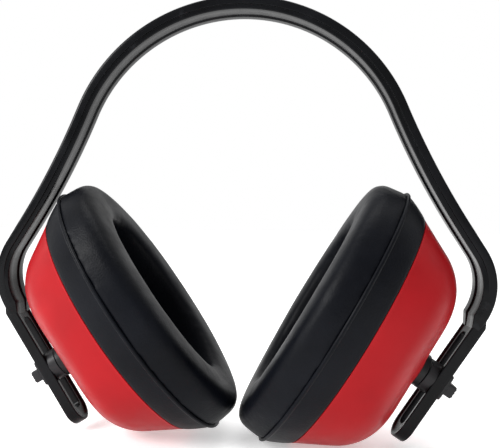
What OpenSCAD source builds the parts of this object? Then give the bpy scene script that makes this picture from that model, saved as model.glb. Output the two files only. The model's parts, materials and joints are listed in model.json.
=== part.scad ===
// Over-the-head earmuff: one sprung band with two straight slotted arms, and two oval cups that each
// hang on a ball pivot which slides in the slot of its arm.
// X is to the wearer's side, Y is back, Z is up. The origin is the middle of the seat at the crown.
// Each cup is drawn in the frame of its arm: X up the arm, Y back, Z from the arm towards the head.

/* [Headband] */
// Width of the band, front to back
band_w = 15; // [13:0.5:16]
// Thickness of the band
band_t = 5.2; // [4.6:0.1:5.6]
// Outer radius of the arch
crown_r = 71.5; // [70:0.5:74]
// Half angle that the arch spans
crown_angle = 67.5; // [66:0.5:69]
// Radius of the outward sweep below the arch
flare_r = 315; // [290:5:340]
// Slope of the sides above the bend, from upright
flare_angle = 32; // [31:0.5:33]
// Straight length above the bend
flare_run = 11; // [10:0.5:13]
// Outer radius of the lower bend
bend_r = 25.7; // [24:0.1:27]

/* [Arms] */
// Slope of the straight arms, from upright
arm_angle = 33; // [32:0.5:34]
// Length of a straight arm
arm_len = 57; // [55:0.5:60]
// Thickness of an arm
arm_t = 4; // [3.6:0.1:4.4]
// How far the arm's outer face stands out past the band
arm_step = 1.7; // [1.2:0.1:2]
// Length of the height slot
slot_len = 44; // [40:1:46]
// Width of the height slot
slot_w = 5.6; // [5:0.1:6.4]
// Distance of the left pivot below the top of its arm, at rest
left_drop = 31; // [28:0.1:35]
// Distance of the right pivot below the top of its arm, at rest
right_drop = 29.4; // [28:0.1:35]

/* [Cups] */
// Half length of the cup at the mouth of the shell
mouth_r = 51.5; // [50:0.5:53]
// Width of the cup over its length
cup_aspect = 0.735; // [0.7:0.005:0.78]
// Distance from the arm's outer face to the cup's outer face
cup_gap = 11.4; // [11:0.1:11.8]
// Distance from the arm's outer face to the mouth of the shell
mouth_at = 39; // [37:0.5:41]
// Slope of the shell's side wall
side_slope = 28; // [26:1:29]
// Radius of the shell's outer corner
dome_r = 25.5; // [24:0.5:26]
// Wall thickness of the shell
cup_wall = 2.4; // [2:0.1:2.8]
// Tilt of the left cup on its pivot, at rest
left_tilt = 2.5; // [0:0.5:4]
// Tilt of the right cup on its pivot, at rest
right_tilt = -3; // [-4:0.5:0]

/* [Cushions] */
// Half length of the cushion at the seam
seam_r = 57; // [55.5:0.5:58]
// Distance from the arm's outer face to the seam
seam_at = 49.8; // [49:0.1:51]
// Distance from the arm's outer face to the cushion's face
face_at = 63; // [60:0.1:64]
// Radius of the cushion's outer corner
cushion_r = 6; // [4:0.5:7]
// Half length of the ear opening
ear_r = 35; // [32:0.5:37]
// Width of the ear opening over its length
ear_aspect = 0.56; // [0.5:0.01:0.62]
// Thickness of the vinyl skin
skin_t = 1; // [0.8:0.1:1.4]

/* [Pivot] */
// Radius of the ball
ball_r = 5; // [4.6:0.1:5.2]
// Distance from the arm's outer face to the middle of the ball
ball_at = 15.2; // [15:0.1:15.6]
// Radius of the collar
collar_r = 6.5; // [6:0.1:7]
// Radius of the shaft in the slot
shaft_r = 2; // [1.8:0.1:2.1]

/* [Hidden] */
$fn = 128;

// Colours
band_black = [0.06, 0.06, 0.07];
pivot_black = [0.1, 0.1, 0.11];
shell_red = [0.8, 0.11, 0.13];
vinyl_black = [0.13, 0.13, 0.15];
foam_grey = [0.22, 0.22, 0.23];
liner_white = [0.85, 0.85, 0.82];
steel = [0.7, 0.71, 0.73];

// General clearances
eps = 0.02;
run_gap = 0.06;
fit_gap = 0.2;
big = 200;

// Band section
edge_r = 1;
ledge_t = 1.8;
ledge_in = 0.7;
groove_w = 6.5;
groove_t = 0.6;

// Arm
track_w = 10.6;
track_t = 0.8;
track_over = 3;
lip_t = 1;
lip_len = 2.4;
slot_at = 7;
root_len = 5;
root_in = 2;
root_skin = 0.4;
root_rise = 1.5;
arm_in = 0.9;

// Knob, shoe and clip
knob_w = 10;
knob_len = 5.2;
knob_h = 3.2;
knob_round = 1;
knob_base_len = 11;
knob_base_t = 1.4;
shoe_len = 8;
clip_r = 3.1;
clip_t = 0.7;
clip_mouth = 2.4;
shaft_end = 3.1;
groove_depth = 0.4;
collar_top = 8;

// Ball pivot
neck_r = 2.6;
liner_t = 1.4;
dome_shell_t = 2.8;
collar_gap = 0.25;
liner_open = 45;
housing_open = 40;
collar_open = 54;
barrel_r = 11;
lock_r = 12;
lock_t = 1;
flange_r = 15;
flange_t = 2;
bore_depth = 6;
ring_at = 2.4;
ring_hole_r = 3.6;

// Shell mouth, rim and foams
spigot_len = 3;
spigot_wall = 2.2;
rim_wall = 2.4;
rim_plate_t = 2;
bead_r = 0.9;
plate_open = 1.6;
backing_at = 25;
backing_t = 3;
ear_foam_t = 8;
foam_gap = 0.4;
side_lean = 2;
mouth_round = 4;
cushion_lift = 0.1;

// Outer face of the band, walked from the crown down the right side as [x, z] and a heading
flare_turn = crown_angle - (90 - flare_angle);
function arc_step(r, a) = [r * sin(a), -r * (1 - cos(a))];
function turned(p, a) = [p[0] * cos(a) + p[1] * sin(a), -p[0] * sin(a) + p[1] * cos(a)];
heading_1 = crown_angle;
heading_2 = 90 - flare_angle;
heading_3 = 90 + arm_angle;
path_0 = [0, band_t];
path_1 = path_0 + arc_step(crown_r, crown_angle);
path_2 = path_1 + turned(arc_step(-flare_r, -flare_turn), heading_1);
path_3 = path_2 + turned([flare_run, 0], heading_2);
path_4 = path_3 + turned(arc_step(bend_r, heading_3 - heading_2), heading_2);

// Radii about the middle of the ball
liner_in_r = ball_r + run_gap;
liner_out_r = liner_in_r + liner_t;
seat_r = liner_out_r + run_gap;
housing_r = seat_r + dome_shell_t;

// ---------- placing ----------

// Puts children that travel along X and face outwards along Z at a point of the band's outer face
module on_path(point, heading) {
  translate([point[0], 0, point[1]])
    rotate([0, heading, 0])
      children();
}

// From the frame of an arm, with its origin at the pivot, to the part's frame
module on_arm(side) {
  drop = side < 0 ? left_drop : right_drop;
  pivot = path_4 + turned([drop, arm_step], heading_3);
  mirror([side < 0 ? 1 : 0, 0, 0])
    translate([pivot[0], 0, pivot[1]])
      rotate([0, arm_angle - 90, 0])
        children();
}

// From the frame of a cup, tilted about its ball, to the part's frame
module on_cup(side) {
  tilt = side < 0 ? left_tilt : right_tilt;
  on_arm(side)
    translate([0, 0, ball_at])
      rotate([0, tilt, 0])
        translate([0, 0, -ball_at])
          children();
}

// ---------- general shapes ----------

// Turns a half outline, x out from the axis and y along it, and narrows it across Y
module oval(aspect) {
  for (quarter = [0:3])
    scale([1, aspect, 1])
      rotate([0, 0, 90 * quarter])
        rotate_extrude(angle = 90)
          children();
}

// A rectangle with true round corners, centred
module round_rect(size, r) {
  square([size[0] - 2 * r, size[1]], center = true);
  square([size[0], size[1] - 2 * r], center = true);
  for (x = [-1, 1], y = [-1, 1])
    translate([x * (size[0] / 2 - r), y * (size[1] / 2 - r)])
      circle(r = r, $fn = 24);
}

// A block with round upright edges, from z0 to z1
module round_block(size, r, z0, z1) {
  translate([0, 0, z0])
    linear_extrude(z1 - z0)
      round_rect(size, r);
}

module tube(outer_r, inner_r, z0, z1) {
  translate([0, 0, z0])
    difference() {
      cylinder(r = outer_r, h = z1 - z0);
      translate([0, 0, -eps])
        cylinder(r = inner_r, h = z1 - z0 + 2 * eps);
    }
}

// A slot with round ends that starts at the origin and runs along X
module stadium(len, w, h) {
  translate([w / 2, 0, 0])
    cylinder(h = h, r = w / 2);
  translate([len - w / 2, 0, 0])
    cylinder(h = h, r = w / 2);
  translate([w / 2, -w / 2, 0])
    cube([len - w, w, h]);
}

// ---------- headband ----------

// Points of an arc: about the middle of a bend that starts at p with that heading, offset inwards
function bend_points(p, heading, r, turn, depth, step) =
  let (middle = p + turned([0, -r], heading), n = ceil(abs(turn) / step))
  [for (i = [0:n]) middle + turned([0, r - depth], heading + turn * i / n)];

// Points down the right side of the band at a depth below its outer face
function side_points(depth) = concat(
  bend_points(path_0, 0, crown_r, crown_angle, depth, 3),
  bend_points(path_1, heading_1, -flare_r, -flare_turn, depth, 1.5),
  bend_points(path_3, heading_2, bend_r, heading_3 - heading_2, depth, 4)
);

function flipped(points) = [for (i = [len(points) - 1:-1:0]) points[i]];
function mirrored(points) = [for (p = points) [-p[0], p[1]]];
function whole_side(depth) = concat(
  flipped(mirrored(side_points(depth))),
  [for (i = [1:len(side_points(depth)) - 1]) side_points(depth)[i]]
);

// A layer of the band between two depths, of that width
module band_layer(depth_0, depth_1, w) {
  rotate([90, 0, 0])
    linear_extrude(w, center = true)
      polygon(concat(whole_side(depth_0), flipped(whole_side(depth_1))));
}

// Side view of the arm, x along it and y outwards: root block, blade and end lip
module arm_side() {
  inner = arm_step - arm_t;
  polygon([
    [-root_in, root_skin - band_t], [-root_in, -root_skin], [root_rise, arm_step],
    [arm_len, arm_step], [arm_len, inner - lip_t], [arm_len - lip_len, inner - lip_t],
    [arm_len - lip_len, inner], [root_len, inner]
  ]);
}

// Face view of the arm, x along it and y across
module arm_face() {
  half_w = band_w / 2 - arm_in;
  translate([-root_in - 1, -half_w])
    square([arm_len + root_in + 1 - half_w, 2 * half_w]);
  translate([arm_len - half_w, 0])
    circle(r = half_w);
}

module arm() {
  difference() {
    intersection() {
      rotate([90, 0, 0])
        linear_extrude(band_w, center = true)
          arm_side();
      translate([0, 0, -big / 2])
        linear_extrude(big)
          arm_face();
    }
    translate([slot_at, 0, -big / 2])
      stadium(slot_len, slot_w, big);
    translate([slot_at - track_over, 0, arm_step - track_t])
      stadium(slot_len + 2 * track_over, track_w, big);
  }
}

module headband() {
  color(band_black)
    difference() {
      union() {
        band_layer(0, band_t, band_w - 2 * ledge_in);
        band_layer(edge_r, band_t - ledge_t, band_w);
        on_path(path_4, heading_3)
          arm();
        mirror([1, 0, 0])
          on_path(path_4, heading_3)
            arm();
      }
      band_layer(band_t - groove_t, band_t + 1, groove_w);
    }
}

// ---------- pieces that slide in the slot ----------

// Cap on the outside of the arm, with a grip bar and a pocket for the clip
module adjust_knob(side) {
  color(pivot_black)
    on_arm(side)
      difference() {
        union() {
          round_block([knob_base_len, knob_w], knob_round, -knob_base_t, 0);
          round_block([knob_len, knob_w], knob_round, -knob_base_t - knob_h, -knob_base_t);
        }
        translate([0, 0, -clip_t - fit_gap])
          cylinder(r = clip_r + fit_gap, h = big);
        translate([0, 0, -shaft_end - fit_gap])
          cylinder(r = shaft_r + fit_gap, h = big);
      }
}

// Bush that fills the slot's width and carries the shaft
module slot_shoe(side) {
  color(liner_white)
    on_arm(side)
      difference() {
        union() {
          round_block([knob_base_len, track_w - 2 * fit_gap], knob_round, run_gap, track_t - run_gap);
          round_block([shoe_len, slot_w - 2 * run_gap], knob_round, run_gap, arm_t);
        }
        translate([0, 0, -big / 2])
          cylinder(r = shaft_r + run_gap, h = big);
      }
}

// Open spring ring in the groove of the shaft, which keeps the post in the shoe
module shaft_clip(side) {
  color(steel)
    on_arm(side)
      difference() {
        tube(clip_r, shaft_r - groove_depth + run_gap, -clip_t, 0);
        translate([0, -clip_mouth / 2, -big / 2])
          cube([big, clip_mouth, big]);
      }
}

// Shaft, collar, neck and ball in one piece
module pivot_post(side) {
  color(pivot_black)
    on_arm(side) {
      difference() {
        translate([0, 0, -shaft_end])
          cylinder(r = shaft_r, h = shaft_end + arm_t + 1);
        tube(shaft_r + 1, shaft_r - groove_depth, -clip_t - run_gap, run_gap);
      }
      difference() {
        translate([0, 0, arm_t + 2 * run_gap])
          cylinder(r = collar_r, h = collar_top - arm_t - 2 * run_gap);
        translate([0, 0, ball_at])
          sphere(r = housing_r + collar_gap);
      }
      translate([0, 0, arm_t + 1])
        cylinder(r = neck_r, h = ball_at - arm_t - 1);
      translate([0, 0, ball_at])
        sphere(r = ball_r);
    }
}

// ---------- socket ----------

// A cone from the middle of the ball towards the arm
module mouth_cone(half_angle) {
  h = housing_r + 3;
  translate([0, 0, ball_at - h])
    cylinder(r1 = h * tan(half_angle), r2 = 0, h = h);
}

// Split ball seat between the ball and the housing
module socket_liner(side) {
  color(liner_white)
    on_arm(side)
      difference() {
        translate([0, 0, ball_at])
          sphere(r = liner_out_r);
        translate([0, 0, ball_at])
          sphere(r = liner_in_r);
        mouth_cone(liner_open);
        translate([0, 0, ball_at + ring_at + 1])
          cylinder(r = big, h = big);
      }
}

// Barrel in the hole of the shell, between a flange inside and a locking ridge outside
module housing_barrel() {
  outside = cup_gap - run_gap;
  inside = cup_gap + cup_wall + run_gap;
  difference() {
    union() {
      translate([0, 0, outside - lock_t])
        cylinder(r = lock_r, h = lock_t);
      translate([0, 0, outside - lock_t])
        cylinder(r = barrel_r, h = inside - outside + lock_t + flange_t);
      translate([0, 0, inside])
        cylinder(r = flange_r, h = flange_t);
    }
    mouth_cone(collar_open);
  }
}

// Round housing that the shell turns on, and whose spherical seat turns on the liner
module socket_housing(side) {
  color(pivot_black)
    on_cup(side)
      difference() {
        union() {
          translate([0, 0, ball_at])
            sphere(r = housing_r);
          translate([0, 0, ball_at])
            cylinder(r = housing_r, h = bore_depth);
          housing_barrel();
        }
        translate([0, 0, ball_at])
          sphere(r = seat_r);
        translate([0, 0, ball_at])
          cylinder(r = seat_r, h = big);
        mouth_cone(housing_open);
      }
}

// Ring pressed into the housing behind the ball
module socket_ring(side) {
  color(steel)
    on_cup(side)
      difference() {
        translate([0, 0, ball_at + ring_at])
          cylinder(r = seat_r - eps, h = bore_depth - ring_at);
        translate([0, 0, ball_at])
          sphere(r = seat_r);
        cylinder(r = ring_hole_r, h = big);
      }
}

// ---------- cup ----------

// Half outline of the domed shell, x out from the axis and y towards the head
module dome_outline(inset, top) {
  corner_r = dome_r - inset;
  corner_y = cup_gap + dome_r;
  corner_x = mouth_r - (dome_r + (mouth_at - corner_y) * sin(side_slope)) / cos(side_slope);
  touch = [corner_x + corner_r * cos(side_slope), corner_y - corner_r * sin(side_slope)];
  rim_x = mouth_r - inset / cos(side_slope) + (top - mouth_at) * tan(side_slope);
  intersection() {
    union() {
      translate([corner_x, corner_y])
        circle(r = corner_r);
      polygon([
        [0, cup_gap + inset], [corner_x, cup_gap + inset], [corner_x, corner_y],
        touch, [rim_x, top], [0, top]
      ]);
    }
    square([big, top]);
  }
}

function cavity_r(at) = mouth_r - cup_wall / cos(side_slope) + (at - mouth_at) * tan(side_slope);

module cup_shell(side) {
  color(shell_red)
    on_cup(side)
      difference() {
        oval(cup_aspect)
          dome_outline(0, mouth_at);
        oval(cup_aspect)
          dome_outline(cup_wall, mouth_at + 1);
        cylinder(r = barrel_r + run_gap, h = cup_gap + 2 * cup_wall);
      }
}

// Flat oval disc that fits the cavity at its outer face
module foam_disc(at, t) {
  translate([0, 0, at])
    linear_extrude(t)
      scale([1, cup_aspect])
        circle(r = cavity_r(at) - foam_gap);
}

module foam_backing(side) {
  color(foam_grey)
    on_cup(side)
      foam_disc(backing_at, backing_t);
}

module ear_foam(side) {
  color(foam_grey)
    on_cup(side)
      foam_disc(backing_at + backing_t + fit_gap, ear_foam_t);
}

// ---------- cushion ----------

// Conical ring between the shell and the cushion, with a bead at the seam
module cushion_rim(side) {
  spigot_r = cavity_r(mouth_at - spigot_len) - fit_gap;
  color(vinyl_black)
    on_cup(side)
      difference() {
        oval(cup_aspect) {
          polygon([
            [0, mouth_at], [mouth_r, mouth_at], [seam_r, seam_at], [0, seam_at]
          ]);
          translate([spigot_r - spigot_wall, mouth_at - spigot_len])
            square([spigot_wall, spigot_len + 1]);
          translate([seam_r, seam_at - bead_r])
            circle(r = bead_r, $fn = 24);
        }
        oval(cup_aspect)
          polygon([
            [0, mouth_at - big], [spigot_r - spigot_wall, mouth_at - big],
            [spigot_r - spigot_wall, mouth_at + rim_wall],
            [seam_r - 2 * rim_wall, seam_at - rim_plate_t], [0, seam_at - rim_plate_t]
          ]);
        translate([0, 0, -big / 2])
          oval(ear_aspect)
            square([ear_r + plate_open, big]);
      }
}

// Half outline of the cushion without its ear opening
module cushion_outline(inset, base) {
  r = cushion_r - inset;
  corner = [seam_r - side_lean - cushion_r, face_at - cushion_r];
  translate(corner)
    circle(r = r, $fn = 32);
  polygon([
    [0, base], [seam_r - inset, base], [corner[0] + r, corner[1]], corner,
    [corner[0], face_at - inset], [0, face_at - inset]
  ]);
}

// Half outline of the ear opening, whose edge rolls over onto the face
module ear_outline() {
  square([ear_r, big]);
  difference() {
    translate([0, face_at - mouth_round])
      square([ear_r + mouth_round, big]);
    translate([ear_r + mouth_round, face_at - mouth_round])
      circle(r = mouth_round, $fn = 32);
  }
}

module cushion_foam(side) {
  inset = skin_t + fit_gap;
  color(foam_grey)
    on_cup(side)
      difference() {
        oval(cup_aspect)
          cushion_outline(inset, seam_at + fit_gap);
        oval(ear_aspect)
          square([ear_r + mouth_round, big]);
      }
}

// Vinyl cover, open at the back where it is stuck to the rim
module cushion_skin(side) {
  color(vinyl_black)
    on_cup(side)
      difference() {
        oval(cup_aspect)
          cushion_outline(0, seam_at + cushion_lift);
        difference() {
          oval(cup_aspect)
            cushion_outline(skin_t, seam_at);
          oval(ear_aspect)
            square([ear_r + mouth_round - fit_gap, big]);
        }
        oval(ear_aspect)
          ear_outline();
      }
}

headband();
adjust_knob(-1);  // left_adjust_knob
slot_shoe(-1);  // left_slot_shoe
shaft_clip(-1);  // left_shaft_clip
pivot_post(-1);  // left_pivot_post
socket_liner(-1);  // left_socket_liner
cup_shell(-1);  // left_cup_shell
socket_housing(-1);  // left_socket_housing
socket_ring(-1);  // left_socket_ring
foam_backing(-1);  // left_foam_backing
ear_foam(-1);  // left_ear_foam
cushion_rim(-1);  // left_cushion_rim
cushion_foam(-1);  // left_cushion_foam
cushion_skin(-1);  // left_cushion_skin
adjust_knob(1);  // right_adjust_knob
slot_shoe(1);  // right_slot_shoe
shaft_clip(1);  // right_shaft_clip
pivot_post(1);  // right_pivot_post
socket_liner(1);  // right_socket_liner
cup_shell(1);  // right_cup_shell
socket_housing(1);  // right_socket_housing
socket_ring(1);  // right_socket_ring
foam_backing(1);  // right_foam_backing
ear_foam(1);  // right_ear_foam
cushion_rim(1);  // right_cushion_rim
cushion_foam(1);  // right_cushion_foam
cushion_skin(1);  // right_cushion_skin
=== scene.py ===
import json
import math

import bmesh
import bpy
from mathutils import Matrix, Vector, noise


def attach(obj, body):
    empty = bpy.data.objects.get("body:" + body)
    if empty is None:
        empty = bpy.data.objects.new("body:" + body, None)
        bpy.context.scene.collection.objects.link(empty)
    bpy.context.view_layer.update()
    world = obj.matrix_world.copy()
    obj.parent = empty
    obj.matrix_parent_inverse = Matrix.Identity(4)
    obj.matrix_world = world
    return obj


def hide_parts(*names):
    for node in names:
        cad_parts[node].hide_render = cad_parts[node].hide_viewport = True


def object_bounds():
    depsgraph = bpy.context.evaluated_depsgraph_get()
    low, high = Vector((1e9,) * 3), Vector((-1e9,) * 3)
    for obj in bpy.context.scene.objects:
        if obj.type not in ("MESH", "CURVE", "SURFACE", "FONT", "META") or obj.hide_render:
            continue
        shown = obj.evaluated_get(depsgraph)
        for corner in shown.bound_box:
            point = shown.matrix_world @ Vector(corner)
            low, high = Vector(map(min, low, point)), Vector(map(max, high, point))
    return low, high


MM = 0.001
SIDES = (("left_", -1), ("right_", 1))

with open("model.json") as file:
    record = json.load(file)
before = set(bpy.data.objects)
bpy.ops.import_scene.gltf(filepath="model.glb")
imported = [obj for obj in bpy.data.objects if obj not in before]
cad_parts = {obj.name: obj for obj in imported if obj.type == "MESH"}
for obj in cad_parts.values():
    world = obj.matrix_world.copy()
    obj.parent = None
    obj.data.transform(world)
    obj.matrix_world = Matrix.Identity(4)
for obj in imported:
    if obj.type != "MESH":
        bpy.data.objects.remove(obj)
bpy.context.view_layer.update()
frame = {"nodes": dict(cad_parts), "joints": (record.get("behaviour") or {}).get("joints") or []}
JOINTS = {j["name"]: j for j in frame["joints"]}

# Driving sizes of the CAD model, in millimetres and degrees
BAND_W, BAND_T, LEDGE_T, LEDGE_IN = 15.0, 5.2, 1.8, 0.7
CROWN_R, CROWN_ANGLE = 71.5, 67.5
FLARE_R, FLARE_ANGLE, FLARE_RUN = 315.0, 32.0, 11.0
BEND_R, ARM_ANGLE = 25.7, 33.0
ARM_LEN, ARM_T, ARM_STEP, ARM_HALF = 57.0, 4.0, 1.7, 6.6
SLOT_AT, SLOT_LEN, SLOT_W, TRACK_W, TRACK_T, TRACK_END = 7.0, 44.0, 5.6, 10.6, 0.8, 3.0
BALL_AT, CUP_GAP, MOUTH_AT, MOUTH_R = 15.2, 11.4, 39.0, 51.5
CUP_ASPECT, SIDE_SLOPE, DOME_R, CUP_WALL = 0.735, 28.0, 25.5, 2.4
SEAM_R, SEAM_AT, FACE_AT, CUSHION_R = 57.0, 49.8, 63.0, 6.0
EAR_R, EAR_ASPECT = 35.0, 0.56
BACKING_AT, BACKING_T, EAR_FOAM_T, FOAM_GAP, FIT_GAP = 25.0, 3.0, 8.0, 0.4, 0.2

# Further sizes of the visual pieces, in millimetres and degrees
ARM_TUCK, BORDER_W, BORDER_T, LIP = 2.0, 1.5, 0.55, 0.3
ARCH_R = 48.0
HOLE_R, HOLE_PAD, NECK_R, HOUSING_R, SEAT_R, SEAT_ANGLE = 6.95, 3.6, 6.8, 9.3, 6.7, 50.0
KNOB_LEN, KNOB_W, KNOB_BASE, KNOB_GRIP, KNOB_TOP = 11.0, 10.0, 1.4, 5.2, 4.6
SPIGOT_IN, SPIGOT_T, SPIGOT_DEEP = 4.6, 2.1, 3.0
COVER_VOXEL, COVER_SWELL, COVER_FRAMES = 1.9, 1.6, 20


# ---------- materials ----------

class Nodes:
    """Shorthand for a material's node tree. Scales count per metre and depths are in metres."""

    def __init__(self, name):
        self.material = bpy.data.materials.new(name)
        self.material.use_nodes = True
        self.tree = self.material.node_tree
        self.shader = self.tree.nodes["Principled BSDF"]
        self.place = self.add("ShaderNodeTexCoord").outputs["Object"]

    def add(self, kind, **settings):
        node = self.tree.nodes.new(kind)
        for key, value in settings.items():
            setattr(node, key, value)
        return node

    def link(self, a, b):
        self.tree.links.new(a, b)

    def set(self, **values):
        """Sets the shader's own sockets; an underscore stands for a space."""
        for key, value in values.items():
            self.shader.inputs[key.replace("_", " ")].default_value = value

    def noise(self, scale, detail=3.0, rough=0.5, stretch=None):
        node = self.add("ShaderNodeTexNoise")
        node.inputs["Scale"].default_value = scale
        node.inputs["Detail"].default_value = detail
        node.inputs["Roughness"].default_value = rough
        if stretch:
            mapping = self.add("ShaderNodeMapping")
            mapping.inputs["Scale"].default_value = stretch
            self.link(self.place, mapping.inputs["Vector"])
            self.link(mapping.outputs["Vector"], node.inputs["Vector"])
        else:
            self.link(self.place, node.inputs["Vector"])
        return node.outputs["Fac"]

    def cells(self, scale, feature="F1"):
        node = self.add("ShaderNodeTexVoronoi", feature=feature)
        node.inputs["Scale"].default_value = scale
        self.link(self.place, node.inputs["Vector"])
        return node.outputs["Distance"]

    def ramp(self, value, low, high, out_low, out_high):
        """Maps low..high to out_low..out_high."""
        node = self.add("ShaderNodeMapRange")
        limits = {"From Min": low, "From Max": high, "To Min": out_low, "To Max": out_high}
        for key, number in limits.items():
            node.inputs[key].default_value = number
        self.link(value, node.inputs["Value"])
        return node.outputs["Result"]

    def colours(self, value, stops):
        """A colour ramp from (position, colour) stops."""
        node = self.add("ShaderNodeValToRGB")
        ramp = node.color_ramp
        while len(ramp.elements) < len(stops):
            ramp.elements.new(0.5)
        for element, (at, colour) in zip(ramp.elements, stops):
            element.position = at
            element.color = (*colour, 1)
        self.link(value, node.inputs["Fac"])
        return node.outputs["Color"]

    def bump(self, value, strength, distance, before=None):
        node = self.add("ShaderNodeBump")
        node.inputs["Strength"].default_value = strength
        node.inputs["Distance"].default_value = distance
        self.link(value, node.inputs["Height"])
        if before:
            self.link(before, node.inputs["Normal"])
        return node.outputs["Normal"]

    def worn(self, low, high):
        """1 on sharp edges, 0 on open faces: where the painted edge highlight goes."""
        node = self.add("ShaderNodeNewGeometry")
        return self.ramp(node.outputs["Pointiness"], low, high, 0, 1)

    def mix(self, factor, a, b):
        node = self.add("ShaderNodeMix", data_type="RGBA")
        self.link(factor, node.inputs[0])
        for socket, value in ((6, a), (7, b)):
            if isinstance(value, tuple):
                node.inputs[socket].default_value = (*value, 1)
            else:
                self.link(value, node.inputs[socket])
        return node.outputs[2]


def moulded(name, dark, light, rough, grain, depth, shine, coat=0.0, edge=None):
    """Injection-moulded plastic: faint flow in the colour, fine grain, and a lighter edge colour on sharp
    edges as a painted highlight.
    """
    n = Nodes(name)
    flow = n.noise(45, 3, 0.55)
    colour = n.colours(flow, ((0.3, dark), (0.7, light)))
    # Sharp edges take the lighter edge colour: a painted highlight along the rims.
    if edge:
        colour = n.mix(n.worn(0.52, 0.62), colour, edge)
    n.link(colour, n.shader.inputs["Base Color"])
    n.link(n.ramp(n.noise(160, 4, 0.6), 0.3, 0.7, *rough), n.shader.inputs["Roughness"])
    fine = n.bump(n.noise(grain, 2, 0.6), 0.35, depth)
    n.link(n.bump(n.noise(60, 2, 0.5), 0.1, 0.0004, fine), n.shader.inputs["Normal"])
    n.set(IOR=1.5, Specular_IOR_Level=shine, Coat_Weight=coat, Coat_Roughness=0.12)
    return n.material


def vinyl_material():
    """Soft black vinyl: a leather-like emboss, bluish sheen and slightly lighter patches of wear."""
    n = Nodes("black_vinyl_grain")
    patches = n.noise(28, 5, 0.62)
    colour = n.colours(patches, ((0.32, (0.0009, 0.0012, 0.0024)), (0.7, (0.0030, 0.0037, 0.0062))))
    n.link(colour, n.shader.inputs["Base Color"])
    n.link(n.ramp(n.noise(75, 5, 0.65), 0.3, 0.72, 0.36, 0.56), n.shader.inputs["Roughness"])
    pebble = n.bump(n.cells(1500, "SMOOTH_F1"), 0.22, 0.00022)
    crease = n.bump(n.noise(420, 5, 0.7), 0.3, 0.00022, pebble)
    n.link(n.bump(n.noise(38, 3, 0.5), 0.12, 0.0009, crease), n.shader.inputs["Normal"])
    n.set(IOR=1.48, Specular_IOR_Level=0.1)
    return n.material


def foam_material():
    """Dark open-cell foam: rough all over, with the pores in its bump and painted shade in the pores in
    its colour.
    """
    n = Nodes("open_cell_foam")
    pores = n.cells(900, "F1")
    # Darkest at the cell centres, where the bump sinks: painted shade in the pores.
    colour = n.colours(pores, ((0.05, (0.0015, 0.0015, 0.002)), (0.6, (0.009, 0.009, 0.0105))))
    n.link(colour, n.shader.inputs["Base Color"])
    n.link(n.ramp(n.noise(200, 3), 0.3, 0.7, 0.85, 1.0), n.shader.inputs["Roughness"])
    n.link(n.bump(pores, 0.9, 0.0008), n.shader.inputs["Normal"])
    n.set(IOR=1.4, Specular_IOR_Level=0.1)
    return n.material


def steel_material():
    """Bright spring steel with fine drawing lines."""
    n = Nodes("spring_steel_drawn")
    lines = n.noise(300, 4, 0.6, stretch=(1, 1, 14))
    metal = n.colours(lines, ((0.3, (0.42, 0.42, 0.43)), (0.7, (0.62, 0.62, 0.62))))
    n.link(metal, n.shader.inputs["Base Color"])
    n.link(n.ramp(lines, 0.3, 0.7, 0.22, 0.42), n.shader.inputs["Roughness"])
    n.link(n.bump(lines, 0.25, 0.00008), n.shader.inputs["Normal"])
    n.set(Metallic=1.0)
    return n.material


def studio_floor_material():
    """Matt, nearly white floor that glows a little, so that shadows stay soft."""
    n = Nodes("pale_floor")
    paper = n.colours(n.noise(6, 3), ((0.3, (0.955, 0.955, 0.955)), (0.7, (0.98, 0.98, 0.98))))
    n.link(paper, n.shader.inputs["Base Color"])
    n.link(n.ramp(n.noise(30, 3), 0.3, 0.7, 0.6, 0.75), n.shader.inputs["Roughness"])
    n.set(Emission_Color=(1, 1, 1, 1), Emission_Strength=0.4)
    return n.material


# Each edge colour is lighter than its plastic: a painted highlight on sharp edges.
BAND = moulded("band_gloss_black", dark=(0.0016, 0.0017, 0.0021), light=(0.0042, 0.0045, 0.0056),
               rough=(0.16, 0.3), grain=700, depth=0.00003, shine=0.11, coat=0.015,
               edge=(0.009, 0.0095, 0.011))
PIVOT = moulded("pivot_satin_black", dark=(0.004, 0.004, 0.0045), light=(0.008, 0.008, 0.009),
                rough=(0.3, 0.45), grain=900, depth=0.00008, shine=0.22, edge=(0.016, 0.016, 0.018))
RED = moulded("shell_red_abs", dark=(0.27, 0.0035, 0.0062), light=(0.33, 0.0052, 0.0085),
              rough=(0.34, 0.48), grain=1100, depth=0.00007, shine=0.1, edge=(0.36, 0.008, 0.012))
NYLON = moulded("nylon_natural", dark=(0.45, 0.44, 0.40), light=(0.55, 0.54, 0.50),
                rough=(0.35, 0.5), grain=600, depth=0.00008, shine=0.4)
VINYL = vinyl_material()
FOAM = foam_material()
STEEL = steel_material()
NODE_MATERIALS = {
    "headband": BAND,
    "adjust_knob": PIVOT, "slot_shoe": NYLON, "shaft_clip": STEEL, "pivot_post": PIVOT,
    "socket_liner": NYLON, "cup_shell": RED, "socket_housing": PIVOT, "socket_ring": STEEL,
    "foam_backing": FOAM, "ear_foam": FOAM,
    "cushion_rim": VINYL, "cushion_foam": FOAM, "cushion_skin": VINYL,
}


def paint_cad_nodes():
    """Gives every CAD node its finish, also where a visual piece stands for it."""
    for name, node in frame["nodes"].items():
        kind = name.replace("left_", "").replace("right_", "")
        node.data.materials.clear()
        node.data.materials.append(NODE_MATERIALS[kind])


# ---------- places ----------

class Place:
    """A cup's or an arm's own axes: x up the arm, y back, z from the arm's outer face to the head."""

    def __init__(self, middle, x, z):
        self.x, self.y, self.z = Vector(x).normalized(), Vector((0, 1, 0)), Vector(z).normalized()
        self.origin = Vector(middle) - self.z * BALL_AT * MM

    def __call__(self, x, y, z):
        return self.origin + (self.x * x + self.y * y + self.z * z) * MM


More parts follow.
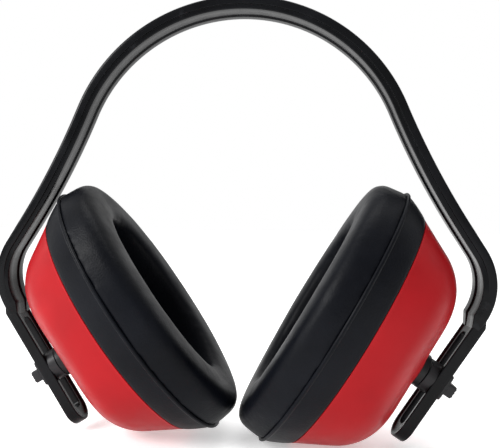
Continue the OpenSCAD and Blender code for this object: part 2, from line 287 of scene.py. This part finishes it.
def arm_place(prefix, side):
    """The arm's axes at its pivot, from the joints in the frame."""
    slide = Vector(JOINTS[prefix + "height_slide"]["axis"]) * -side
    inward = Vector((-side * math.cos(math.radians(ARM_ANGLE)), 0, math.sin(math.radians(ARM_ANGLE))))
    return Place(JOINTS[prefix + "cup_tilt"]["pos_m"], slide, inward)


def cup_place(prefix, side):
    """The cup's axes, tilted as the cup hangs at rest, from the joints in the frame."""
    spin = JOINTS[prefix + "cup_spin"]
    up = Vector(JOINTS[prefix + "cup_turn"]["axis"]) * side
    return Place(spin["pos_m"], up, spin["axis"])


# ---------- meshes ----------

def new_object(name, bm, material, sharp=32):
    """Makes the mesh an object; edges that turn by more than sharp degrees stay crisp."""
    bmesh.ops.remove_doubles(bm, verts=bm.verts, dist=1e-7)
    bmesh.ops.recalc_face_normals(bm, faces=bm.faces)
    mesh = bpy.data.meshes.new(name)
    bm.to_mesh(mesh)
    bm.free()
    piece = bpy.data.objects.new(name, mesh)
    bpy.context.scene.collection.objects.link(piece)
    mesh.materials.append(material)
    mesh.polygons.foreach_set("use_smooth", [True] * len(mesh.polygons))
    mesh.set_sharp_from_angle(angle=math.radians(sharp))
    return piece


def add_grid(bm, rows, close_rows=False, close_columns=True, caps=False):
    """Joins rows of points into quads. Rows may close on themselves and the last row on the first."""
    made = [[bm.verts.new(p) for p in row] for row in rows]
    count = len(made[0])
    pairs = list(zip(made, made[1:])) + ([(made[-1], made[0])] if close_rows else [])
    for a, b in pairs:
        for i in range(count if close_columns else count - 1):
            j = (i + 1) % count
            bm.faces.new((a[i], a[j], b[j], b[i]))
    if caps:
        bm.faces.new(list(reversed(made[0])))
        bm.faces.new(made[-1])


def arc(centre, r, a0, a1, steps):
    """Points of an arc from a0 to a1 degrees."""
    angles = [math.radians(a0 + (a1 - a0) * i / steps) for i in range(steps + 1)]
    return [(centre[0] + r * math.cos(a), centre[1] + r * math.sin(a)) for a in angles]


def ease(t):
    """0 to 1 with a level start and end."""
    t = min(1.0, max(0.0, t))
    return t * t * (3 - 2 * t)


def rounded(points, r, steps=3):
    """A closed outline with its corners rounded; r is one radius or one for each point."""
    out = []
    count = len(points)
    for i, p in enumerate(points):
        radius = r[i] if isinstance(r, (list, tuple)) else r
        p, a, b = Vector(p), Vector(points[i - 1]), Vector(points[(i + 1) % count])
        u, v = (a - p), (b - p)
        reach = min(radius, u.length * 0.45, v.length * 0.45)
        if reach < 1e-4:
            out.append(tuple(p))
            continue
        start, end = p + u.normalized() * reach, p + v.normalized() * reach
        for k in range(steps + 1):
            t = k / steps
            out.append(tuple((1 - t) ** 2 * start + 2 * t * (1 - t) * p + t * t * end))
    return out


# ---------- headband ----------

def turned(p, angle):
    """A point of the band's plane turned clockwise by an angle in degrees."""
    a = math.radians(angle)
    return Vector((p[0] * math.cos(a) + p[1] * math.sin(a), -p[0] * math.sin(a) + p[1] * math.cos(a)))


def path_of_band():
    """Stations down the right side of the outer face: point, heading, and 0 to 1 along the last bend."""
    stations = []
    point, heading = Vector((0, BAND_T)), 0.0

    def bend(r, angle, steps, last=False):
        nonlocal point, heading
        middle = point + turned((0, -r), heading)
        for i in range(steps):
            t = (i + 1) / steps
            at = middle + turned((0, r), heading + angle * t)
            stations.append((at, heading + angle * t, t if last else 0.0))
        point, heading = stations[-1][0], heading + angle

    stations.append((point, heading, 0.0))
    bend(CROWN_R, CROWN_ANGLE, 48)
    bend(-FLARE_R, -(CROWN_ANGLE - (90 - FLARE_ANGLE)), 26)
    point = point + turned((FLARE_RUN, 0), heading)
    stations.append((point, heading, 0.0))
    bend(BEND_R, 90 + ARM_ANGLE - heading, 28, last=True)
    return stations


def band_section(taper):
    """The band's section, y across and depth below the outer face, as a closed outline.

    The ledge along its edges fades out as taper goes to 1, but never quite closes.
    """
    half, step = BAND_W / 2, max(0.03, LEDGE_IN * (1 - taper))
    edge = 1.1 - 0.5 * taper
    split = BAND_T - LEDGE_T
    groove, deep, bevel = 3.25, 0.6, 0.5
    right = [(half, 0), (half, split), (half - step, split), (half - step, BAND_T),
             (groove, BAND_T), (groove - bevel, BAND_T - deep)]
    radii = [edge, 0.22, 0.16, 0.45, 0.2, 0.2]
    outline = right + [(-y, d) for y, d in reversed(right)]
    return rounded(outline, radii + radii[::-1], 4)


def band_half(side):
    """Rows of points from the crown down one side, ending in a short root that thins into the arm."""
    root, root_steps, lift, thinning, narrowing = 4.8, 4, 0.1, 0.5, 0.14
    taper_start, taper_run = 0.05, 0.6
    rows = []
    stations = path_of_band()
    for point, heading, t in stations:
        inward = turned((0, -1), heading)
        row = []
        for y, depth in band_section(ease((t - taper_start) / taper_run)):
            p = point + inward * depth
            row.append(Vector((side * p.x, y, p.y)) * MM)
        rows.append(row)
    point, heading, _ = stations[-1]
    ahead, inward = turned((1, 0), heading), turned((0, -1), heading)
    for i in range(root_steps):
        thin = (i + 1) / root_steps
        row = []
        for y, depth in band_section(1.0):
            sunk = lift * thin + depth * (1 - thinning * thin)
            p = point + ahead * root * thin + inward * sunk
            row.append(Vector((side * p.x, y * (1 - narrowing * thin), p.y)) * MM)
        rows.append(row)
    return rows


def build_band(name):
    """The arch and both flared sides as one closed skin, down to the arms' roots."""
    bm = bmesh.new()
    add_grid(bm, band_half(-1)[::-1] + band_half(1)[1:], caps=True)
    return new_object(name, bm, BAND)


def arm_loop(x0, x1, half, r_top):
    """A loop round the arm: small corners at the top end and a half circle at the free end."""
    across, along, corner, turn = 5, 9, 5, 28
    left, right = x0 + r_top, x1 - half
    flat = half - r_top
    points = [(x0, flat * (2 * i / (across - 1) - 1)) for i in range(across)]
    points += arc((left, flat), r_top, 180, 90, corner)[1:]
    points += [(left + (right - left) * i / along, half) for i in range(1, along)]
    points += arc((right, 0), half, 90, -90, turn)
    points += [(right + (left - right) * i / along, -half) for i in range(1, along)]
    points += arc((left, -flat), r_top, -90, -180, corner)[:-1]
    return points


def arm_drop(prefix, side):
    """How far the pivot is below the top of the arm, from its place in the frame."""
    place = arm_place(prefix, side)
    end = path_of_band()[-1][0]
    top = Vector((side * end.x, 0, end.y)) * MM
    return (top - place.origin).dot(place.x) / MM


def build_arm(name, prefix, side):
    """Blade with a slot, a sunk track outside, and a raised border and end lip inside."""
    place = arm_place(prefix, side)
    drop = arm_drop(prefix, side)
    outer, inner = ARM_STEP, ARM_STEP - ARM_T
    floor, border = outer - TRACK_T, inner - BORDER_T

    def blade(inset, top=-ARM_TUCK):
        """The outline of the arm, drawn in by inset."""
        return top + inset, ARM_LEN - inset, ARM_HALF - inset, 0.6

    def track(grow=0.0):
        half = TRACK_W / 2 + grow
        return SLOT_AT - TRACK_END - grow, SLOT_AT + SLOT_LEN + TRACK_END + grow, half, half

    def slot(grow=0.0):
        half = SLOT_W / 2 + grow
        return SLOT_AT - grow, SLOT_AT + SLOT_LEN + grow, half, half

    profile = [
        (blade(0.0), inner + 0.2), (blade(0.0, -1.0), 0.0), (blade(0.0, 1.2), outer - 0.5),
        (blade(0.15, 1.5), outer - 0.15), (blade(0.5, 1.6), outer),
        (track(LIP), outer), (track(0.08), outer - 0.08), (track(), outer - LIP), (track(), floor),
        (slot(LIP), floor), (slot(), floor - LIP), (slot(), inner + LIP), (slot(LIP), inner),
        (blade(BORDER_W + 0.5), inner), (blade(BORDER_W), border + 0.15), (blade(BORDER_W - 0.2), border),
        (blade(0.35), border), (blade(0.1), border + 0.12), (blade(0.0), border + 0.4),
    ]
    rows = []
    for (x0, x1, half, r_top), height in profile:
        loop = arm_loop(x0, x1, half, min(r_top, half))
        rows.append([place(drop - x, y, ARM_STEP - height) for x, y in loop])
    bm = bmesh.new()
    add_grid(bm, rows, close_rows=True)
    return new_object(name, bm, BAND, 40)


# ---------- pieces made by turning an outline ----------

def oval_piece(name, place, outline, aspect, material, steps=144):
    """A closed outline of (r, z) points, turned about the cup's axis and narrowed across."""
    bm = bmesh.new()
    rows = []
    for i in range(steps):
        a = 2 * math.pi * i / steps
        rows.append([place(r * math.cos(a), r * aspect * math.sin(a), z) for r, z in outline])
    add_grid(bm, rows, close_rows=True)
    return new_object(name, bm, material)


def build_shell(name, place):
    """Domed cup: a round hole with a small lip, a round shoulder, a straight side and a thin mouth."""
    slope = math.radians(SIDE_SLOPE)
    corner_y = CUP_GAP + DOME_R
    corner_x = MOUTH_R - (DOME_R + (MOUTH_AT - corner_y) * math.sin(slope)) / math.cos(slope)
    touch = (corner_x + DOME_R * math.cos(slope), corner_y - DOME_R * math.sin(slope))
    wall, lip = CUP_WALL, CUP_GAP + 0.25
    outline = [(HOLE_R, CUP_GAP + LIP), (HOLE_R + LIP, CUP_GAP), (HOLE_R + 1.6, CUP_GAP),
               (HOLE_R + 2.0, lip), (HOLE_R + 3.2, lip), (HOLE_R + HOLE_PAD, CUP_GAP),
               (corner_x * 0.8, CUP_GAP)]
    outline += arc((corner_x, corner_y), DOME_R, -90, -SIDE_SLOPE, 28)
    for t in (0.3, 0.6, 0.9):
        outline.append((touch[0] + (MOUTH_R - touch[0]) * t, touch[1] + (MOUTH_AT - touch[1]) * t))
    outline += [(MOUTH_R - 0.08, MOUTH_AT - 0.22), (MOUTH_R - 0.35, MOUTH_AT - 0.02)]
    outline += [(MOUTH_R - wall + 0.2, MOUTH_AT - 0.02), (MOUTH_R - wall - 0.1, MOUTH_AT - 0.3)]
    outline += arc((corner_x, corner_y), DOME_R - wall, -SIDE_SLOPE, -90, 20)
    outline += [(HOLE_R + 0.2, CUP_GAP + wall), (HOLE_R, CUP_GAP + wall - LIP)]
    return oval_shell(name, place, outline)


def oval_shell(name, place, outline):
    """As oval_piece, but round at the hole, oval further out, and arched front to back."""
    to_oval, to_arch, side_start, fade, soft = 9.0, 3.0, 16.0, 12.0, 4.0
    steps, rows = 160, []
    for i in range(steps):
        a = 2 * math.pi * i / steps
        row = []
        for r, z in outline:
            aspect = 1 + (CUP_ASPECT - 1) * ease((r - HOLE_R - HOLE_PAD) / to_oval)
            y = r * aspect * math.sin(a)
            over = CUP_GAP + ARCH_R - math.sqrt(ARCH_R ** 2 - y * y) - z
            off_hole = min(1.0, max(0.0, (r - HOLE_R - 0.8) / to_arch))
            off_mouth = min(1.0, max(0.0, (MOUTH_AT - z) / fade))
            off_middle = min(1.0, (y / side_start) ** 2)
            arch = 0.5 * (over + math.hypot(over, soft)) * off_hole * off_mouth * off_middle
            row.append(place(r * math.cos(a), y, z + arch))
        rows.append(row)
    bm = bmesh.new()
    add_grid(bm, rows, close_rows=True)
    return new_object(name, bm, RED, 40)


def build_housing(name, place):
    """Ball housing: a round neck that reaches out of the shell to the collar, and the seat behind it."""
    front, step, back, edge = 8.06, 13.8, 21.2, 0.4
    mouth_r = (BALL_AT - front) / math.tan(math.radians(SEAT_ANGLE))
    outline = [(mouth_r, front), (mouth_r + LIP, front + 0.24), (NECK_R, front + 0.64), (NECK_R, step),
               (HOUSING_R - edge, step + 0.1), (HOUSING_R, step + 0.5), (HOUSING_R, back - edge),
               (HOUSING_R - edge, back), (SEAT_R, back)]
    outline += arc((0, BALL_AT), SEAT_R, 0, -SEAT_ANGLE, 10)
    return oval_piece(name, place, outline, 1.0, PIVOT, 72)


def build_rim(name, place):
    """Conical vinyl band from the shell to the weld seam, with the seam's groove and raised bead."""
    run = Vector((SEAM_R - MOUTH_R, SEAM_AT - MOUTH_AT))
    out = Vector((run.y, -run.x)).normalized()
    spigot_r, spigot_end = MOUTH_R - SPIGOT_IN, MOUTH_AT - SPIGOT_DEEP
    bore_r = spigot_r - SPIGOT_T
    crown = ((0.01, -0.1), (0.04, 0.1), (0.12, 0.25), (0.3, 0.35), (0.5, 0.35), (0.7, 0.22))
    groove = ((0.82, 0.05), (0.86, 0.05))
    bead = ((0.89, 0.3), (0.92, 0.5), (0.95, 0.5), (0.98, 0.3))
    outline = [(spigot_r, spigot_end), (spigot_r, MOUTH_AT + 0.02), (MOUTH_R - 0.5, MOUTH_AT + 0.02)]
    for t, lift in crown + groove + bead:
        p = Vector((MOUTH_R, MOUTH_AT)) + run * t + out * lift
        outline.append(tuple(p))
    outline += [(SEAM_R - 0.3, SEAM_AT + 0.05), (SEAM_R - 4.5, SEAM_AT - 0.2), (SEAM_R - 6, SEAM_AT - 2.0),
                (bore_r, MOUTH_AT + 2.4), (bore_r, spigot_end)]
    return oval_piece(name, place, outline, CUP_ASPECT, VINYL)


def build_knob(name, prefix, side):
    """Slider head: flat base on the arm with a ribbed grip bar across it."""
    place = arm_place(prefix, side)
    rib_step, rib_t, rib_top = 1.45, 0.7, KNOB_TOP + 0.25
    bm = bmesh.new()

    def slab(cx, length, width, z0, z1, r, edge):
        """A block from z0 out to z1 with round corners and a small bevel at z1."""
        rows = []
        for inset, z in ((0.0, z0), (0.0, z1 + edge), (edge * 0.3, z1 + edge * 0.3), (edge, z1)):
            row = []
            half_x, half_y = length / 2 - inset, width / 2 - inset
            corners = [(half_x, half_y), (-half_x, half_y), (-half_x, -half_y), (half_x, -half_y)]
            for x, y in rounded(corners, r, 4):
                row.append(place(cx + x, y, z))
            rows.append(row)
        add_grid(bm, rows, caps=True)

    slab(0, KNOB_LEN, KNOB_W, 0, -KNOB_BASE, 1.6, 0.3)
    slab(0, KNOB_GRIP, KNOB_W, 0.1 - KNOB_BASE, -KNOB_TOP, 1.0, 0.5)
    for x in (-rib_step, 0, rib_step):
        slab(x, rib_t, KNOB_W - 1, 0.1 - KNOB_TOP, -rib_top, 0.3, 0.15)
    return new_object(name, bm, PIVOT, 40)


# ---------- cushions ----------

def ring_point(angle, along, z, inner_r, outer_r):
    """A point of the cushion ring: along counts from the ear opening, or if negative from the outside."""
    c, s = math.cos(angle), math.sin(angle)
    inside = Vector((inner_r * c, inner_r * EAR_ASPECT * s, 0))
    outside = Vector((outer_r * c, outer_r * CUP_ASPECT * s, 0))
    way = (outside - inside).normalized()
    p = inside + way * along if along >= 0 else outside + way * along
    return Vector((p.x, p.y, z))


def cushion_section():
    """Where the slack cover runs, as (mm from the opening or, if negative, from the outside; z)."""
    low, high, inner_r = SEAM_AT - 1.4, FACE_AT - 0.6, 3.0
    opening, outside = 0.6, -1.4
    section = [(opening, low), (opening, high - inner_r)]
    section += arc((opening + inner_r, high - inner_r), inner_r, 180, 90, 5)[1:]
    section += [(outside - CUSHION_R, high)]
    section += arc((outside - CUSHION_R, high - CUSHION_R), CUSHION_R, 90, 10, 6)[1:]
    section += [(-0.8, low + 2.4), (-0.5, low)]
    return section


def slack_cushion(name):
    """The cover before it is filled, in the cup's own axes."""
    inner_r, outer_r, steps = EAR_R + 0.4, SEAM_R + 0.1, 120
    rows = []
    for i in range(steps):
        a = 2 * math.pi * i / steps
        rows.append([ring_point(a, along, z, inner_r, outer_r) * MM for along, z in cushion_section()])
    bm = bmesh.new()
    add_grid(bm, rows, close_rows=True)
    return new_object(name, bm, VINYL, 180)


def apply_modifiers(piece):
    """Replaces the mesh by the one its modifiers give."""
    graph = bpy.context.evaluated_depsgraph_get()
    mesh = bpy.data.meshes.new_from_object(piece.evaluated_get(graph), depsgraph=graph)
    old = piece.data
    piece.modifiers.clear()
    piece.data = mesh
    bpy.data.meshes.remove(old)


def inflate(piece, cap):
    """Voxel remesh, a cloth run under pressure with the glued base held, then a cap on the swelling."""
    remesh = piece.modifiers.new("voxels", "REMESH")
    remesh.mode = "VOXEL"
    remesh.voxel_size = COVER_VOXEL * MM
    apply_modifiers(piece)
    before = [v.co.copy() for v in piece.data.vertices]
    held = piece.vertex_groups.new(name="held")
    base = (SEAM_AT + 1.4) * MM
    held.add([v.index for v in piece.data.vertices if v.co.z < base], 1.0, "REPLACE")
    cloth = piece.modifiers.new("stuffing", "CLOTH")
    settings = cloth.settings
    settings.quality = 6
    settings.mass = 0.25
    settings.use_pressure = True
    settings.uniform_pressure_force = 4.0
    settings.tension_stiffness = 18
    settings.compression_stiffness = 18
    settings.bending_stiffness = 0.6
    settings.effector_weights.gravity = 0
    settings.vertex_group_mass = "held"
    cloth.collision_settings.use_collision = False
    scene = bpy.context.scene
    for step in range(COVER_FRAMES):
        scene.frame_set(step + 1)
    apply_modifiers(piece)
    scene.frame_set(1)
    for vertex, start in zip(piece.data.vertices, before):
        moved = vertex.co - start
        if moved.length > cap:
            vertex.co = start + moved * (cap / moved.length)


def build_cushion(name, place, master, seed):
    """A copy of the inflated cover put on its cup, with soft dents that fade out at the seam."""
    broad, fine, clear, fade = 0.35, 0.12, 1.5, 5.0
    mesh = master.data.copy()
    mesh.name = name
    for vertex in mesh.vertices:
        q = vertex.co / MM
        swell = noise.noise(Vector((q.x, q.y, q.z * 0.6)) * 0.045 + Vector((seed, 0, 0)))
        ripple = noise.noise(q * 0.16 + Vector((0, seed, 0)))
        off_seam = min(1.0, max(0.0, (q.z - SEAM_AT - clear) / fade))
        q = q + vertex.normal * (broad * swell + fine * ripple) * off_seam
        vertex.co = place(q.x, q.y, q.z)
    piece = bpy.data.objects.new(name, mesh)
    bpy.context.scene.collection.objects.link(piece)
    bm = bmesh.new()
    bm.from_mesh(mesh)
    axes = {"use_axis_x": True, "use_axis_y": True, "use_axis_z": True}
    bmesh.ops.smooth_vert(bm, verts=bm.verts, factor=0.5, **axes)
    bmesh.ops.recalc_face_normals(bm, faces=bm.faces)
    bm.to_mesh(mesh)
    bm.free()
    mesh.polygons.foreach_set("use_smooth", [True] * len(mesh.polygons))
    finer = piece.modifiers.new("finer", "SUBSURF")
    finer.levels = finer.render_levels = 1
    apply_modifiers(piece)
    return piece


def build_foam(name, place, at, thick, dents):
    """A foam disc with a crowned, slightly uneven face and rounded edges."""
    slope = math.radians(SIDE_SLOPE)
    wide = MOUTH_R - CUP_WALL / math.cos(slope) + (at - MOUTH_AT) * math.tan(slope) - FOAM_GAP
    rings, steps, edge, edge_fall = 26, 96, 0.07, 1.2
    top, bottom = [], []
    for ring in range(1, rings + 1):
        t = ring / rings
        r = wide * t
        fall = edge_fall * max(0.0, (t - 1 + edge) / edge) ** 2
        upper, lower = [], []
        for i in range(steps):
            a = 2 * math.pi * i / steps
            x, y = r * math.cos(a), r * CUP_ASPECT * math.sin(a)
            bump = dents * noise.noise(Vector((x, y, at)) * 0.09)
            upper.append(place(x, y, at + thick - fall - 0.3 + bump))
            lower.append(place(x, y, at + 0.5 * fall))
        top.append(upper)
        bottom.append(lower)
    bm = bmesh.new()
    add_grid(bm, bottom[::-1] + top)
    bmesh.ops.holes_fill(bm, edges=[e for e in bm.edges if e.is_boundary], sides=0)
    return new_object(name, bm, FOAM, 60)


# ---------- building ----------

def settle(piece, body, slot, *nodes):
    """Says what a piece rides on and hides the CAD nodes that it stands for; slot, its finish, is not
    used.
    """
    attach(piece, body)
    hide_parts(*nodes)


def build_object():
    """Every visual piece: the band once, the rest for each side."""
    settle(build_band("band_arch"), "headband", "band_plastic", "headband")
    foam_at, seed_step = BACKING_AT + BACKING_T + FIT_GAP, 11.3
    master = slack_cushion("cushion_master")
    inflate(master, COVER_SWELL * MM)
    for seed, (prefix, side) in enumerate(SIDES):
        cup = cup_place(prefix, side)
        body = prefix + "cup"
        arm = build_arm(prefix + "slotted_arm", prefix, side)
        settle(arm, "headband", "band_plastic", "headband")
        knob = build_knob(prefix + "grip_knob", prefix, side)
        settle(knob, prefix + "slider", "pivot_plastic", prefix + "adjust_knob")
        shell = build_shell(prefix + "domed_shell", cup)
        settle(shell, body, "red_shell", prefix + "cup_shell")
        housing = build_housing(prefix + "ball_housing", cup)
        settle(housing, prefix + "socket", "pivot_plastic", prefix + "socket_housing")
        rim = build_rim(prefix + "seam_band", cup)
        settle(rim, body, "rim_plastic", prefix + "cushion_rim")
        cushion = build_cushion(prefix + "ear_cushion", cup, master, seed_step * (seed + 1))
        settle(cushion, body, "black_vinyl", prefix + "cushion_skin", prefix + "cushion_foam")
        absorber = build_foam(prefix + "absorber", cup, foam_at, EAR_FOAM_T, 0.5)
        settle(absorber, body, "dark_foam", prefix + "ear_foam")
        backing = build_foam(prefix + "absorber_back", cup, BACKING_AT, BACKING_T, 0.1)
        settle(backing, body, "dark_foam", prefix + "foam_backing")
    bpy.data.objects.remove(master)


# ---------- studio ----------

def add_light(name, place, target, size, power):
    """A rectangular soft light that faces target."""
    data = bpy.data.lights.new(name, "AREA")
    data.shape = "RECTANGLE"
    data.size, data.size_y = size
    data.energy = power
    light = bpy.data.objects.new(name, data)
    light.location = place
    light.rotation_euler = (Vector(target) - Vector(place)).to_track_quat("-Z", "Y").to_euler()
    bpy.context.scene.collection.objects.link(light)


def build_world():
    """White behind the object, falling to a softer grey in front of it and on its right."""
    world = bpy.data.worlds.new("studio")
    world.use_nodes = True
    tree = world.node_tree
    way = tree.nodes.new("ShaderNodeSeparateXYZ")
    tree.links.new(tree.nodes.new("ShaderNodeTexCoord").outputs["Generated"], way.inputs[0])
    levels = []
    for axis, start, end, low, high in (("Y", -0.4, 0.3, 0.55, 1.0), ("X", 1.0, 0.45, 0.6, 1.0)):
        level = tree.nodes.new("ShaderNodeMapRange")
        limits = {"From Min": start, "From Max": end, "To Min": low, "To Max": high}
        for key, value in limits.items():
            level.inputs[key].default_value = value
        tree.links.new(way.outputs[axis], level.inputs["Value"])
        levels.append(level.outputs["Result"])
    both = tree.nodes.new("ShaderNodeMath")
    both.operation = "MULTIPLY"
    for i, level in enumerate(levels):
        tree.links.new(level, both.inputs[i])
    tree.links.new(both.outputs[0], tree.nodes["Background"].inputs["Strength"])
    tree.nodes["Background"].inputs["Color"].default_value = (1, 1, 1, 1)
    return world


def build_studio():
    """A wide pale floor just under the object, the white world and two soft lights."""
    reach, floor_z = 6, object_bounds()[0].z - 0.5 * MM
    rows = [[Vector((x, y, floor_z)) for y in (-reach, reach)] for x in (-reach, reach)]
    bm = bmesh.new()
    add_grid(bm, rows, close_columns=False)
    floor = new_object("studio_floor", bm, studio_floor_material())
    bpy.context.scene.world = build_world()
    middle = (0, 0, -0.09)
    add_light("key", (-0.75, -0.65, 0.4), middle, (0.5, 0.5), 12)
    add_light("top", (0.0, 0.1, 0.9), middle, (0.9, 0.5), 5)
    bpy.context.scene.view_settings.view_transform = "Standard"


def build_camera():
    """The photograph's viewpoint: close in front and a little to the picture's right."""
    place, lens, shift = (0.01958, -0.25077, -0.08547), 44.19, (0.08, -0.012)
    yaw, pitch, roll = (math.radians(a) for a in (-6.98, 0.38, 0.73))
    ahead = Vector((math.sin(yaw) * math.cos(pitch), math.cos(yaw) * math.cos(pitch), math.sin(pitch)))
    right = ahead.cross(Vector((0, 0, 1))).normalized()
    up = right.cross(ahead)
    r = right * math.cos(roll) + up * math.sin(roll)
    u = up * math.cos(roll) - right * math.sin(roll)
    data = bpy.data.cameras.new("camera")
    data.sensor_width = 36
    data.lens = lens
    data.shift_x, data.shift_y = shift
    data.clip_start, data.clip_end = 0.01, 20
    camera = bpy.data.objects.new("camera", data)
    axes = Matrix((r, u, -ahead)).transposed()
    camera.matrix_world = Matrix.Translation(place) @ axes.to_4x4()
    bpy.context.scene.collection.objects.link(camera)
    bpy.context.scene.camera = camera


paint_cad_nodes()
build_camera()
build_object()
build_studio()
